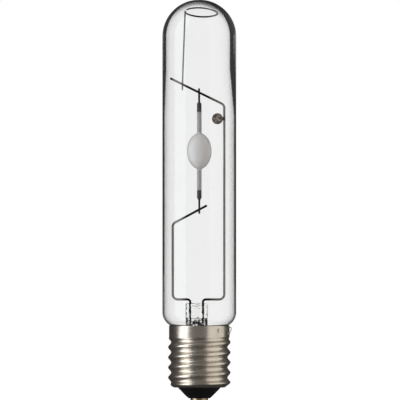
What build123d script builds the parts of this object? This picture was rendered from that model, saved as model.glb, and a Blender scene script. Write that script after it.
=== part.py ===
from build123d import *
from math import acos, cos, pi, radians, sin, sqrt, tan
import os

# Single-ended ceramic metal halide lamp: an arc tube on a wire frame, inside a clear tubular
# bulb with a 40 mm screw cap. Sizes are in millimetres. The lamp stands cap down with +Z along
# its axis. The origin is the middle of the bottom contact, and the flat of the stem faces -Y.

# Bulb
light_centre = 158.0
light_to_dome = 95.0
bulb_radius = 23.2
bulb_wall = 1.3
dome_wall = 3.0
crown_wall = 1.8
dome_crown_angle = 82
thick_wall_length = 20.0
wall_taper_length = 30.0
shoulder_clearance = 0.38
shoulder_radius = 9.5
shoulder_angle = 48.5
neck_depth = 17.9

# Screw cap
rim_height = 47.9
skirt_length = 7.0
skirt_inset = 0.6
sheet_thickness = 0.35
thread_pitch = 6.35
thread_crest_radius = 19.65
thread_depth = 1.9
thread_run_out = 2.4
first_crest_drop = 3.35
shell_foot = 9.1
shell_foot_inset = 1.85
shell_roll_height = 3.0
shell_lip_width = 2.2
roll_wall = 0.5
nick_angle = -50.6
nick_width = 0.5
nick_length = 3.6
nick_drop = 0.7

# Insulator and bottom contact
insulator_foot = 2.3
insulator_foot_radius = 7.1
insulator_rise = 2.9
contact_radius = 5.6
contact_flat_radius = 4.2
contact_bevel = 0.7
lead_hole_radius = 1.0
solder_recess = 0.15
solder_top = 3.0

# Glass stem
stem_x = -1.7
stem_radius = 6.9
stem_wall = 1.2
flare_height = 6.0
flare_neck_radius = 9.4
flare_clearance = 1.0
stem_length = 32.1
press_thickness = 5.0
press_round = 1.2
press_height = 9.1
pinch_length = 6.5
pinch_mark_drop = 2.7
pinch_mark_width = 1.4
pinch_mark_depth = 0.5
exhaust_radius = 2.2
exhaust_bore_radius = 1.4
exhaust_foot = 24.0
exhaust_tip_radius = 0.8
exhaust_tip_length = 3.0
vent_drop = 1.8

# Wires
frame_wire_radius = 0.72
lead_spread = 4.0
seal_wire_radius = 0.65
seal_wire_tail = 3.5
frame_wire_depth = 1.5
run_clearance = 2.4
frame_bend = 3.2
press_bend = 1.8
long_wire_inset = 7.5
long_tip_inset = 5.2
long_arm_angle = 26.1
short_wire_inset = 6.5
short_tip_x = 4.8
short_arm_angle = 28.35
arm_overhang = 2.65
cap_wire_radius = 0.25
centre_lead_drop = 4.0
centre_lead_rise = 1.0
centre_lead_bend = 3.0

# Dome spring
spring_wire_radius = 0.5
spring_ring_radius = 10.2
spring_ring_x = 1.5
spring_tilt_angle = 17.0
spring_roll_angle = 2.8
spring_sweep_angle = 335
spring_leg_x = -10.4
spring_leg_overhang = 3.4
spring_corner_run = 1.6
spring_bend = 1.0

# Arc tube
arc_radius = 7.7
arc_half_length = 11.3
arc_wall = 0.8
leg_radius = 1.45
leg_flare_radius = 2.4
leg_flare_length = 1.0
leg_end = 29.6
lead_radius = 0.62
lead_reach = 9.9
frit_depth = 5.0
frit_collar = 1.1
frit_round = 0.15
electrode_radius = 0.35
electrode_tip = 5.0
electrode_nose = 0.6
electrode_coil_radius = 0.62
electrode_coil_length = 3.0
winding_radius = 0.68
winding_gap = 0.12
winding_end = 12.6
dose_radius = 2.2
dose_thickness = 0.45

# Getter
getter_reach = 4.3
getter_drop = 8.8
getter_radius = 3.45
getter_depth = 1.3
getter_sheet = 0.25
getter_fill = 0.75
tab_width = 2.0
tab_overhang = 0.6

# Weld of the side lead, and its way over the cap's rim
side_lead_angle = -12.0
lead_notch_width = 1.0
lead_notch_depth = 1.7
under_flare_drop = 4.5
side_lead_turn_drop = 2.6
side_lead_rim_drop = 0.8
side_lead_inset = 0.3
side_loop_drop = 1.1
side_loop_reach = 1.95
side_lead_tail = 0.5
side_lead_bends = [1.5, 1.5, 0.5, 0.5, 0.8]
side_weld_drop = 4.9
side_weld_radius = 0.9
side_weld_thickness = 0.8
side_weld_taper_angle = 30
cement_thickness = 1.4
cement_setback = 2.0
cement_slot_width = 0.9

# Clearances
seal_gap = 0.03
loose_gap = 0.1
spring_gap = 0.25
cut_margin = 1.0

# How finely round shapes are drawn
dome_bands = 7
shoulder_bands = 3
arc_tube_bands = 9
bulb_sides = 40
cap_sides = 30
fine_sides = 24
wire_sides = 8
thin_wire_sides = 6
thread_rows_per_turn = 6

# Sizes that follow from the ones above
lamp_length = light_centre + light_to_dome
dome_centre = lamp_length - bulb_radius
dome_inner_radius = bulb_radius - dome_wall
dome_inner_height = bulb_radius - crown_wall
skirt_foot = rim_height - skirt_length
skirt_radius = thread_crest_radius - skirt_inset
skirt_bore_radius = skirt_radius - sheet_thickness
thread_root_radius = thread_crest_radius - thread_depth
shell_bore_radius = thread_root_radius - sheet_thickness
shell_foot_radius = thread_root_radius - shell_foot_inset
shell_mouth_radius = shell_foot_radius - shell_lip_width
first_crest_height = skirt_foot - first_crest_drop
insulator_height = shell_foot + insulator_rise
neck_radius = shell_bore_radius - cement_thickness
neck_foot = rim_height - neck_depth
press_top = neck_foot + stem_length
pinch_top = press_top - press_height
pinch_foot = pinch_top - pinch_length
pinch_mark_height = press_top - pinch_mark_drop
exhaust_hole_height = pinch_top - vent_drop
seal_wire_foot = pinch_foot - seal_wire_tail
side_weld_height = rim_height - side_weld_drop
leg_bore_radius = winding_radius + winding_gap
lead_end = leg_end + lead_reach
frame_y = -(lead_radius + frame_wire_radius)
run_height = press_top + run_clearance
long_wire_x = bulb_radius - long_wire_inset
long_tip_x = long_tip_inset - bulb_radius
short_wire_x = short_wire_inset - bulb_radius
getter_x = long_wire_x - getter_reach
upper_cross_height = light_centre + lead_end - arm_overhang
lower_cross_height = light_centre - lead_end + arm_overhang
long_arm_rise = tan(radians(long_arm_angle))
short_arm_rise = tan(radians(short_arm_angle))
long_bend_height = upper_cross_height - long_wire_x * long_arm_rise
long_tip_height = upper_cross_height - long_tip_x * long_arm_rise
short_bend_height = lower_cross_height + short_wire_x * short_arm_rise
short_tip_height = lower_cross_height + short_tip_x * short_arm_rise
getter_height = long_bend_height - getter_drop
right_seal_x = stem_x + lead_spread
left_seal_x = stem_x - lead_spread
seal_wire_top = press_top - frame_wire_depth
tube_bore_top = pinch_foot - stem_wall / 2
roll_bore_radius = shell_foot_radius - roll_wall

os.makedirs("parts", exist_ok=True)


def arc_points(centre, radius, start, stop, bands):
    """Points along an arc in degrees, which band a round outline into cones."""
    angles = [radians(start + (stop - start) * i / bands) for i in range(bands + 1)]
    return [(centre[0] + radius * cos(a), centre[1] + radius * sin(a)) for a in angles]


def oval_points(radius, half_length, hole_radius, bands):
    """Points along half an ellipse about the lamp's axis, from its foot up to its top."""
    end = acos(hole_radius / radius)
    angles = [-end + 2 * end * i / bands for i in range(bands + 1)]
    return [(radius * cos(a), half_length * sin(a)) for a in angles]


def flat_sided(levels, sides):
    """A solid round body drawn with flats, from (radius, height, centre x, centre y) levels."""
    spokes = [(cos(2 * pi * i / sides), sin(2 * pi * i / sides)) for i in range(sides)]
    rows = [[Vector(x + r * c, y + r * s, height) for c, s in spokes] for r, height, x, y in levels]
    faces = [Face(Wire.make_polygon(rows[0])), Face(Wire.make_polygon(rows[-1]))]
    for low, high in zip(rows, rows[1:]):
        for i in range(sides):
            faces.append(Face(Wire.make_polygon([low[i - 1], low[i], high[i], high[i - 1]])))
    return Solid(Shell(faces))


def turned(points, sides, centre=(0, 0)):
    """A turned body from the (radius, height) points of its outline, from its foot up."""
    return flat_sided([(radius, height, *centre) for radius, height in points], sides)


def rod(radius, foot, top, sides, centre=(0, 0)):
    """A straight round rod or bore."""
    return turned([(radius, foot), (radius, top)], sides, centre)


def raised(points, height, side=1):
    """Outline points moved up to a height, or mirrored below it where side is -1."""
    moved = [(radius, height + side * z) for radius, z in points]
    return moved if side > 0 else moved[::-1]


def wire_section(route, radius, sides=wire_sides):
    """The cross-section of a wire at the start of its route."""
    with BuildSketch(Plane(origin=route @ 0, z_dir=route % 0)) as section:
        RegularPolygon(radius, sides)
    return section.sketch


def around(angle, radius, height):
    """A point at an angle round the lamp's axis."""
    return (radius * cos(radians(angle)), radius * sin(radians(angle)), height)


# Outer bulb: the neck's cone clears the cap's rim, and sets how high the shoulder comes
cone_slope = tan(radians(shoulder_angle))
cone_top_radius = bulb_radius - shoulder_radius * (1 - cos(radians(shoulder_angle)))
cone_rise = (cone_top_radius - skirt_bore_radius + shoulder_clearance) / cone_slope
shoulder_top = rim_height + cone_rise + shoulder_radius * sin(radians(shoulder_angle))


def shoulder_points(inset):
    """The neck's outline, from its foot up to the straight tube, at an inset from the outside."""
    centre = (bulb_radius - shoulder_radius, shoulder_top)
    curve = arc_points(centre, shoulder_radius - inset, -shoulder_angle, 0, shoulder_bands)
    cone_foot = curve[0][1] - (curve[0][0] - neck_radius + inset) / cone_slope
    return [(neck_radius - inset, neck_foot), (neck_radius - inset, cone_foot)] + curve


with BuildPart() as outer_bulb:
    with BuildSketch(Plane.XZ):
        with BuildLine():
            dome = arc_points((0, dome_centre), bulb_radius, 0, 90, dome_bands)
            Polyline((0, neck_foot), *shoulder_points(0), *dome[:-1], (0, lamp_length), close=True)
        make_face()
    revolve(axis=Axis.Z)
    thick_wall_foot = dome_centre - thick_wall_length
    inside = [
        *shoulder_points(bulb_wall),
        (bulb_radius - bulb_wall, thick_wall_foot - wall_taper_length),
        (dome_inner_radius, thick_wall_foot),
        (dome_inner_radius, dome_centre),
    ]
    for band in range(1, dome_bands + 1):
        rise = radians(dome_crown_angle * band / dome_bands)
        inside.append((dome_inner_radius * cos(rise), dome_centre + dome_inner_height * sin(rise)))
    add(turned(inside, bulb_sides), mode=Mode.SUBTRACT)
outer_bulb.part.label = "outer_bulb"
export_step(outer_bulb.part, "parts/outer_bulb.step")


# Glass stem: a flare fused to the bulb's neck, drawn in to a tube and pinched flat round the wires
with BuildPart() as stem:
    flare_rim = neck_foot - stem_wall
    flare_top = neck_foot + flare_height
    rim_inner_radius = neck_radius - bulb_wall - flare_clearance
    flare = [
        (neck_radius, flare_rim),
        (neck_radius, neck_foot),
        (rim_inner_radius, neck_foot),
        (flare_neck_radius, flare_top),
    ]
    add(turned(flare, cap_sides))
    add(rod(stem_radius, flare_top, press_top, fine_sides, (stem_x, 0)))
    chamfer(stem.edges().group_by(Axis.Z)[-1], press_round)

    # The two jaws of the press flatten the tube and leave a mark across each face
    half = press_thickness / 2
    mark = [
        (half, pinch_mark_height + pinch_mark_width / 2 + pinch_mark_depth),
        (half - pinch_mark_depth, pinch_mark_height + pinch_mark_width / 2),
        (half - pinch_mark_depth, pinch_mark_height - pinch_mark_width / 2),
        (half, pinch_mark_height - pinch_mark_width / 2 - pinch_mark_depth),
    ]
    jaw_reach = stem_radius + cut_margin
    jaw_slope = (pinch_top - pinch_foot) / (stem_radius - half)
    with BuildSketch(Plane.YZ):
        with BuildLine():
            Polyline(
                (half, press_top + cut_margin),
                *mark,
                (half, pinch_top),
                (jaw_reach, pinch_foot - jaw_slope * cut_margin),
                (jaw_reach, press_top + cut_margin),
                close=True,
            )
        make_face()
        mirror(about=Plane.YZ)
    extrude(amount=2 * jaw_reach, both=True, mode=Mode.SUBTRACT)

    # Hollow underside, and the vent from the bulb down into the exhaust tube
    hollow_top = flare_top - stem_wall
    hollow = [(rim_inner_radius, flare_rim), (flare_neck_radius - stem_wall, hollow_top)]
    add(turned(hollow, cap_sides), mode=Mode.SUBTRACT)
    for radius, foot, top in (
        (stem_radius - stem_wall, hollow_top, tube_bore_top),
        (exhaust_bore_radius, tube_bore_top, exhaust_hole_height),
    ):
        add(rod(radius, foot, top, fine_sides, (stem_x, 0)), mode=Mode.SUBTRACT)
    with BuildSketch(Plane.XZ):
        with Locations((stem_x, exhaust_hole_height)):
            Circle(exhaust_bore_radius)
    extrude(amount=jaw_reach, mode=Mode.SUBTRACT)

    # Holes that hold the wires
    for seal_x in (left_seal_x, right_seal_x):
        for radius, foot, top in (
            (seal_wire_radius, tube_bore_top, seal_wire_top),
            (frame_wire_radius, seal_wire_top, press_top),
        ):
            wire_hole = rod(radius + seal_gap, foot, top, fine_sides // 2, (seal_x, 0))
            add(wire_hole, mode=Mode.SUBTRACT)
stem.part.label = "stem"
export_step(stem.part, "parts/stem.step")


with BuildPart() as exhaust_tube:
    outside = [
        (exhaust_tip_radius, exhaust_foot),
        (exhaust_radius, exhaust_foot + exhaust_tip_length),
        (exhaust_radius, tube_bore_top),
    ]
    inside = [
        (exhaust_tip_radius / 2, exhaust_foot + stem_wall),
        (exhaust_bore_radius, exhaust_foot + exhaust_tip_length),
        (exhaust_bore_radius, tube_bore_top),
    ]
    add(turned(outside, fine_sides, (stem_x, 0)))
    add(turned(inside, fine_sides, (stem_x, 0)), mode=Mode.SUBTRACT)
exhaust_tube.part.label = "exhaust_tube"
export_step(exhaust_tube.part, "parts/exhaust_tube.step")


# Tungsten wires sealed in the press
for side, seal_x in (("left", left_seal_x), ("right", right_seal_x)):
    with BuildPart() as seal_wire:
        add(rod(seal_wire_radius, seal_wire_foot, seal_wire_top, wire_sides, (seal_x, 0)))
    seal_wire.part.label = f"{side}_seal_wire"
    export_step(seal_wire.part, f"parts/{side}_seal_wire.step")


# Frame wires: up from the press, out to the side, along the arc tube and across its lead
with BuildPart() as long_frame_wire:
    with BuildLine() as long_route:
        FilletPolyline(
            (right_seal_x, 0, seal_wire_top),
            (right_seal_x, 0, run_height),
            (long_wire_x, frame_y, run_height),
            (long_wire_x, frame_y, long_bend_height),
            (long_tip_x, frame_y, long_tip_height),
            radius=[press_bend, frame_bend, frame_bend],
        )
    sweep(wire_section(long_route.line, frame_wire_radius), path=long_route.line)
long_frame_wire.part.label = "long_frame_wire"
export_step(long_frame_wire.part, "parts/long_frame_wire.step")


with BuildPart() as short_frame_wire:
    with BuildLine() as short_route:
        FilletPolyline(
            (left_seal_x, 0, seal_wire_top),
            (left_seal_x, 0, run_height),
            (short_wire_x, frame_y, run_height),
            (short_wire_x, frame_y, short_bend_height),
            (short_tip_x, frame_y, short_tip_height),
            radius=[press_bend, frame_bend, frame_bend],
        )
    sweep(wire_section(short_route.line, frame_wire_radius), path=short_route.line)
short_frame_wire.part.label = "short_frame_wire"
export_step(short_frame_wire.part, "parts/short_frame_wire.step")


# Dome spring: a tilted ring that bears on the inside of the dome, with a leg welded to the arm
with BuildPart() as dome_spring:
    tilt, roll = radians(spring_tilt_angle), radians(spring_roll_angle)
    seat_reach = dome_inner_radius - spring_wire_radius - spring_gap
    seat_rise = dome_inner_height - spring_wire_radius - spring_gap
    back_offset = sqrt(spring_ring_x**2 + (spring_ring_radius * cos(tilt)) ** 2)
    seat_height = dome_centre + seat_rise * sqrt(1 - (back_offset / seat_reach) ** 2)
    ring_height = seat_height - spring_ring_radius * sin(tilt)
    across = Vector(cos(roll), 0, -sin(roll))
    backward = Vector(0, cos(tilt), sin(tilt))
    ring_middle = (spring_ring_x, 0, ring_height)
    ring_plane = Plane(origin=ring_middle, x_dir=across, z_dir=across.cross(backward))
    weld_height = upper_cross_height - spring_leg_x * long_arm_rise
    leg_y = frame_y + frame_wire_radius + spring_wire_radius
    with BuildLine(ring_plane) as hoop:
        CenterArc((0, 0), spring_ring_radius, 180, spring_sweep_angle)
    hoop_start = hoop.line @ 0
    corner = hoop_start - (hoop.line % 0) * spring_corner_run
    weld = Vector(spring_leg_x, leg_y, weld_height)
    leg_tip = weld + (weld - corner).normalized() * spring_leg_overhang
    with BuildLine() as leg:
        FilletPolyline(leg_tip, corner, hoop_start, radius=spring_bend)
    spring_route = Wire(leg.line.edges() + hoop.line.edges())
    sweep(wire_section(spring_route, spring_wire_radius, thin_wire_sides), path=spring_route)
dome_spring.part.label = "dome_spring"
export_step(dome_spring.part, "parts/dome_spring.step")


# Arc tube: an oval ceramic vessel with a slender leg at each end, hollow right through
with BuildPart() as arc_tube:
    outside = oval_points(arc_radius, arc_half_length, leg_flare_radius, arc_tube_bands)
    inside = oval_points(
        arc_radius - arc_wall, arc_half_length - arc_wall, leg_bore_radius, arc_tube_bands
    )
    flare_end = outside[-1][1] + leg_flare_length
    foot_leg = [(leg_radius, -leg_end), (leg_radius, -flare_end)]
    outside = foot_leg + outside + [(radius, -height) for radius, height in foot_leg[::-1]]
    inside = [(leg_bore_radius, -leg_end)] + inside + [(leg_bore_radius, leg_end)]
    add(turned(raised(outside, light_centre), fine_sides))
    add(turned(raised(inside, light_centre), fine_sides), mode=Mode.SUBTRACT)
arc_tube.part.label = "arc_tube"
export_step(arc_tube.part, "parts/arc_tube.step")


# What each leg of the arc tube holds: lead, seal and electrode
frit_foot = leg_end - frit_depth
for end, side in (("upper", 1), ("lower", -1)):
    lead_outline = raised([(lead_radius, frit_foot), (lead_radius, lead_end)], light_centre, side)
    with BuildPart() as niobium_lead:
        add(turned(lead_outline, fine_sides))
    niobium_lead.part.label = f"{end}_niobium_lead"
    export_step(niobium_lead.part, f"parts/{end}_niobium_lead.step")

    with BuildPart() as frit_seal:
        frit = [
            (leg_bore_radius, frit_foot),
            (leg_bore_radius, leg_end),
            (leg_radius, leg_end),
            (leg_radius - frit_round, leg_end + frit_collar / 2),
            (lead_radius + loose_gap, leg_end + frit_collar),
        ]
        add(turned(raised(frit, light_centre, side), fine_sides))
        add(turned(lead_outline, fine_sides), mode=Mode.SUBTRACT)
    frit_seal.part.label = f"{end}_frit_seal"
    export_step(frit_seal.part, f"parts/{end}_frit_seal.step")

    with BuildPart() as electrode:
        coil_foot = electrode_tip + electrode_nose
        coil_top = coil_foot + electrode_coil_length
        rod_outline = [
            (electrode_radius, electrode_tip),
            (electrode_radius, coil_foot),
            (electrode_coil_radius, coil_foot),
            (electrode_coil_radius, coil_top),
            (electrode_radius, coil_top),
            (electrode_radius, winding_end),
            (winding_radius, winding_end),
            (winding_radius, frit_foot),
        ]
        add(turned(raised(rod_outline, light_centre, side), fine_sides // 2))
    electrode.part.label = f"{end}_electrode"
    export_step(electrode.part, f"parts/{end}_electrode.step")


# Metal halide salts, frozen in a ring at the foot of the vessel
with BuildPart() as halide_dose:
    cavity_radius = arc_radius - arc_wall
    floor_drop = (arc_half_length - arc_wall) * sin(acos(dose_radius / cavity_radius))
    dose_foot = light_centre - floor_drop + spring_gap
    dose = [
        (dose_radius, dose_foot),
        (dose_radius + dose_thickness / 2, dose_foot + dose_thickness / 2),
        (dose_radius, dose_foot + dose_thickness),
    ]
    add(turned(dose, fine_sides))
    dose_bore = rod(electrode_radius + loose_gap, dose_foot, dose_foot + dose_thickness, fine_sides)
    add(dose_bore, mode=Mode.SUBTRACT)
halide_dose.part.label = "halide_dose"
export_step(halide_dose.part, "parts/halide_dose.step")


# Getter: a shallow cup of pressed powder, on a tab welded to the long frame wire
tab_back = -frame_y + frame_wire_radius
tab_front = tab_back + getter_sheet
with BuildPart() as getter_tab:
    with BuildSketch(Plane.XZ.offset(tab_back)):
        tab_end = long_wire_x + tab_overhang
        with Locations(((getter_x + tab_end) / 2, getter_height)):
            Rectangle(tab_end - getter_x, tab_width)
    extrude(amount=getter_sheet)
getter_tab.part.label = "getter_tab"
export_step(getter_tab.part, "parts/getter_tab.step")


with BuildPart() as getter_cup:
    with BuildSketch(Plane.XZ.offset(tab_front)):
        with Locations((getter_x, getter_height)):
            RegularPolygon(getter_radius, fine_sides)
    extrude(amount=getter_depth)
    with BuildSketch(Plane.XZ.offset(tab_front + getter_sheet)):
        with Locations((getter_x, getter_height)):
            RegularPolygon(getter_radius - getter_sheet, fine_sides)
    extrude(amount=getter_depth, mode=Mode.SUBTRACT)
getter_cup.part.label = "getter_cup"
export_step(getter_cup.part, "parts/getter_cup.step")


with BuildPart() as getter_pellet:
    with BuildSketch(Plane.XZ.offset(tab_front + getter_sheet)):
        with Locations((getter_x, getter_height)):
            RegularPolygon(getter_radius - getter_sheet - seal_gap, fine_sides)
    extrude(amount=getter_fill)
getter_pellet.part.label = "getter_pellet"
export_step(getter_pellet.part, "parts/getter_pellet.step")


# Screw shell: every level of the thread is the same round ring, set off centre by half the
# thread's depth. The ring's centre goes once round the axis in each pitch, which makes the
# rounded right-hand thread, and it comes back to the axis at the skirt and at the rolled foot.
def shell_ring(height):
    """The shell's outside at one height: (centre x, centre y, radius)."""
    into_roll = min((height - shell_foot) / shell_roll_height, 1)
    to_skirt = min((skirt_foot - height) / thread_run_out, 1)
    mean_radius = thread_crest_radius - thread_depth / 2
    radius = mean_radius - (mean_radius - shell_foot_radius) * (1 - into_roll) ** 2
    radius += (skirt_radius - mean_radius) * (1 - to_skirt)
    offset = thread_depth / 2 * into_roll * to_skirt
    turn = 2 * pi * (height - first_crest_height) / thread_pitch
    return offset * cos(turn), offset * sin(turn), radius


with BuildPart() as screw_shell:
    rows = round((skirt_foot - shell_foot) / thread_pitch * thread_rows_per_turn)
    levels = []
    for row in range(rows + 1):
        level = shell_foot + (skirt_foot - shell_foot) * row / rows
        ring_x, ring_y, ring_radius = shell_ring(level)
        levels.append((ring_radius, level, ring_x, ring_y))
    levels.append((skirt_radius, rim_height, 0, 0))
    add(flat_sided(levels, cap_sides))

    # Hollow inside, with the foot turned in under the insulator
    lip_top = shell_foot + sheet_thickness
    hollow = [
        (roll_bore_radius, lip_top),
        (shell_bore_radius, shell_foot + shell_roll_height),
        (shell_bore_radius, skirt_foot - thread_run_out / 2),
        (skirt_bore_radius, skirt_foot),
        (skirt_bore_radius, rim_height),
    ]
    add(turned(hollow, cap_sides), mode=Mode.SUBTRACT)
    add(rod(shell_mouth_radius, shell_foot, lip_top, cap_sides), mode=Mode.SUBTRACT)

    # The notch that lets the side lead out, and the punched nick in the skirt
    notch_foot = rim_height - lead_notch_depth
    with BuildSketch(Plane.XY.offset(notch_foot)):
        with Locations(Location(around(side_lead_angle, skirt_radius, 0), side_lead_angle)):
            Rectangle(2 * cut_margin, lead_notch_width)
    extrude(amount=lead_notch_depth, mode=Mode.SUBTRACT)
    with BuildSketch(Plane.XY.offset(rim_height - nick_drop - nick_length)):
        with Locations(Location(around(nick_angle, skirt_radius, 0), nick_angle)):
            Rectangle(sheet_thickness, nick_width)
    extrude(amount=nick_length, mode=Mode.SUBTRACT)
screw_shell.part.label = "screw_shell"
export_step(screw_shell.part, "parts/screw_shell.step")


# Glass insulator: moulded into the foot of the shell, with a cone down to the contact
with BuildPart() as cap_insulator:
    flange_radius = roll_bore_radius - loose_gap
    mouth_radius = shell_mouth_radius - loose_gap
    flange_foot = shell_foot + sheet_thickness
    insulator = [
        (insulator_foot_radius, insulator_foot),
        (mouth_radius, shell_foot),
        (mouth_radius, flange_foot),
        (flange_radius, flange_foot),
        (flange_radius, insulator_height),
    ]
    add(turned(insulator, cap_sides))
    lead_hole = rod(lead_hole_radius, insulator_foot, insulator_height, fine_sides)
    add(lead_hole, mode=Mode.SUBTRACT)
cap_insulator.part.label = "cap_insulator"
export_step(cap_insulator.part, "parts/cap_insulator.step")


with BuildPart() as centre_contact:
    disc = [
        (contact_flat_radius, 0),
        (contact_radius - contact_bevel / 2, contact_bevel),
        (contact_radius, 2 * contact_bevel),
        (contact_radius, insulator_foot),
    ]
    add(turned(disc, cap_sides))
    add(rod(lead_hole_radius, 0, insulator_foot, fine_sides), mode=Mode.SUBTRACT)
centre_contact.part.label = "centre_contact"
export_step(centre_contact.part, "parts/centre_contact.step")


with BuildPart() as contact_solder:
    add(rod(lead_hole_radius - seal_gap, solder_recess, solder_top, fine_sides))
contact_solder.part.label = "contact_solder"
export_step(contact_solder.part, "parts/contact_solder.step")


# Lead wires inside the cap
with BuildPart() as centre_lead_wire:
    with BuildLine() as centre_route:
        FilletPolyline(
            (left_seal_x, 0, seal_wire_foot),
            (left_seal_x, 0, exhaust_foot - centre_lead_drop),
            (0, 0, insulator_height + centre_lead_rise),
            (0, 0, solder_top),
            radius=centre_lead_bend,
        )
    sweep(wire_section(centre_route.line, cap_wire_radius, thin_wire_sides), path=centre_route.line)
centre_lead_wire.part.label = "centre_lead_wire"
export_step(centre_lead_wire.part, "parts/centre_lead_wire.step")


with BuildPart() as side_lead_wire:
    gap_radius = (neck_radius + shell_bore_radius) / 2
    low = neck_foot - under_flare_drop
    rim_bend_height = rim_height - side_lead_rim_drop
    seat_radius = skirt_radius + cap_wire_radius
    with BuildLine() as side_route:
        FilletPolyline(
            (right_seal_x, 0, seal_wire_foot),
            (right_seal_x, 0, low),
            around(side_lead_angle, gap_radius, low),
            around(side_lead_angle, gap_radius, rim_height - side_lead_turn_drop),
            around(side_lead_angle, skirt_bore_radius - side_lead_inset, rim_bend_height),
            around(side_lead_angle, skirt_radius + side_loop_reach, rim_height - side_loop_drop),
            around(side_lead_angle, seat_radius, side_weld_height - side_lead_tail),
            radius=side_lead_bends,
        )
    sweep(wire_section(side_route.line, cap_wire_radius, thin_wire_sides), path=side_route.line)
side_lead_wire.part.label = "side_lead_wire"
export_step(side_lead_wire.part, "parts/side_lead_wire.step")


with BuildPart() as side_weld:
    outward = Vector(*around(side_lead_angle, 1, 0))
    foot = Vector(*around(side_lead_angle, skirt_radius, side_weld_height))
    with BuildSketch(Plane(origin=foot, z_dir=outward)):
        RegularPolygon(side_weld_radius, fine_sides // 2)
    extrude(amount=side_weld_thickness, taper=side_weld_taper_angle)
    add(side_lead_wire.part, mode=Mode.SUBTRACT)
side_weld.part.label = "side_weld"
export_step(side_weld.part, "parts/side_weld.step")


# Cement that holds the bulb's neck in the shell, with a slot for the side lead
with BuildPart() as cap_cement:
    cement_foot = neck_foot + cement_setback
    cement_top = skirt_foot - thread_run_out / 2
    with BuildSketch(Plane.XY.offset(cement_foot)):
        RegularPolygon(shell_bore_radius, cap_sides)
        RegularPolygon(neck_radius + seal_gap, cap_sides, major_radius=False, mode=Mode.SUBTRACT)
    extrude(amount=cement_top - cement_foot)
    with BuildSketch(Plane.XY.offset(cement_foot)):
        with Locations(Location(around(side_lead_angle, gap_radius, 0), side_lead_angle)):
            Rectangle(2 * (shell_bore_radius - neck_radius), cement_slot_width)
    extrude(amount=cement_top - cement_foot, mode=Mode.SUBTRACT)
cap_cement.part.label = "cap_cement"
export_step(cap_cement.part, "parts/cap_cement.step")
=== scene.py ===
"""Single-ended ceramic metal halide lamp, dressed over its CAD frame and set in a pale studio."""

import logging
import math
from dataclasses import dataclass, field
from enum import Enum
from typing import Callable, Iterable, Optional, Sequence

import bmesh
import bpy
from mathutils import Matrix, Vector


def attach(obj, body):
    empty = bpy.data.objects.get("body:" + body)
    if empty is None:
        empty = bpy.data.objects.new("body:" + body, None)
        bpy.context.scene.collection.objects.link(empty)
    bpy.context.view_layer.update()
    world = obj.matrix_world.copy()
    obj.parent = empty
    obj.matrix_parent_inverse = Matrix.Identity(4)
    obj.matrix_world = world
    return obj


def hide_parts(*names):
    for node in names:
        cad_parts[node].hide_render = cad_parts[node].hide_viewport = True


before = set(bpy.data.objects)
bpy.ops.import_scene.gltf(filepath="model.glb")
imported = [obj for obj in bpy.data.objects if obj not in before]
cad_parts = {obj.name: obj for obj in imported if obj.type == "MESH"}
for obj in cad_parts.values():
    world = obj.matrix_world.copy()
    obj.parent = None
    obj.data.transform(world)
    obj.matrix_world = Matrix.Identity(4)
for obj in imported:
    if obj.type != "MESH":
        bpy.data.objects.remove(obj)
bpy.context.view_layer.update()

# The lamp's sizes and places are in millimetres, and MM turns them into metres. The studio's sizes
# and the depths of bumps are in metres, and the scales of noise are in waves per metre.
MM = 0.001
LIGHT_CENTRE = 158.0
NECK_RADIUS = 16.0
NECK_FOOT = 30.0
LONG_LEAD_X = 2.3
SHORT_LEAD_X = -5.7
IN_PLACE = Matrix()

# The Mix node's sockets for colours share their names with others, so they go by number.
MIX_FACTOR, MIX_FIRST, MIX_SECOND, MIX_RESULT = 0, 6, 7, 2

log = logging.getLogger("lamp")

Rgb = tuple[float, float, float]
Span = tuple[float, float]
Outline = Sequence[tuple[float, float]]
Station = tuple[Vector, Vector]
Ring = Callable[[float], Vector]


class Shading(Enum):
    """How the faces of a piece are smoothed, as the angle in degrees past which an edge is sharp."""

    SMOOTH = 180.0
    CREASED = 40.0


class Pattern(Enum):
    """Noise used for the small unevenness of a finish."""

    SOFT = {"Detail": 1.0, "Roughness": 0.5}
    FINE = {"Detail": 4.0, "Roughness": 0.6}
    GRITTY = {"Detail": 8.0, "Roughness": 0.75}


class Tone:
    """A socket of a node tree, on which Python's operators add Math nodes."""

    def __init__(self, recipe: "Recipe", socket: Optional[bpy.types.NodeSocket]) -> None:
        """Wraps one output socket of a recipe's tree."""
        self.recipe = recipe
        self.socket = socket

    def _math(self, operation: str, *values: object) -> "Tone":
        """Adds one Math node on one or two values."""
        return self.recipe.node("ShaderNodeMath", {"operation": operation}, dict(enumerate(values)))

    def __add__(self, other: object) -> "Tone":
        """self + other."""
        return self._math("ADD", self, other)

    __radd__ = __add__

    def __sub__(self, other: object) -> "Tone":
        """self - other."""
        return self._math("SUBTRACT", self, other)

    def __rsub__(self, other: object) -> "Tone":
        """other - self."""
        return self._math("SUBTRACT", other, self)

    def __mul__(self, other: object) -> "Tone":
        """self * other."""
        return self._math("MULTIPLY", self, other)

    __rmul__ = __mul__

    def __abs__(self) -> "Tone":
        """self without its sign."""
        return self._math("ABSOLUTE", self)

    def __lt__(self, other: object) -> "Tone":
        """1 where self is less than other, and 0 elsewhere."""
        return self._math("LESS_THAN", self, other)

    def __gt__(self, other: object) -> "Tone":
        """1 where self is greater than other, and 0 elsewhere."""
        return self._math("GREATER_THAN", self, other)

    def or_higher(self, other: object) -> "Tone":
        """The greater of self and other."""
        return self._math("MAXIMUM", self, other)

    def part(self, name: str) -> "Tone":
        """Another output of the same node."""
        return Tone(self.recipe, self.socket.node.outputs[name])


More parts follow.
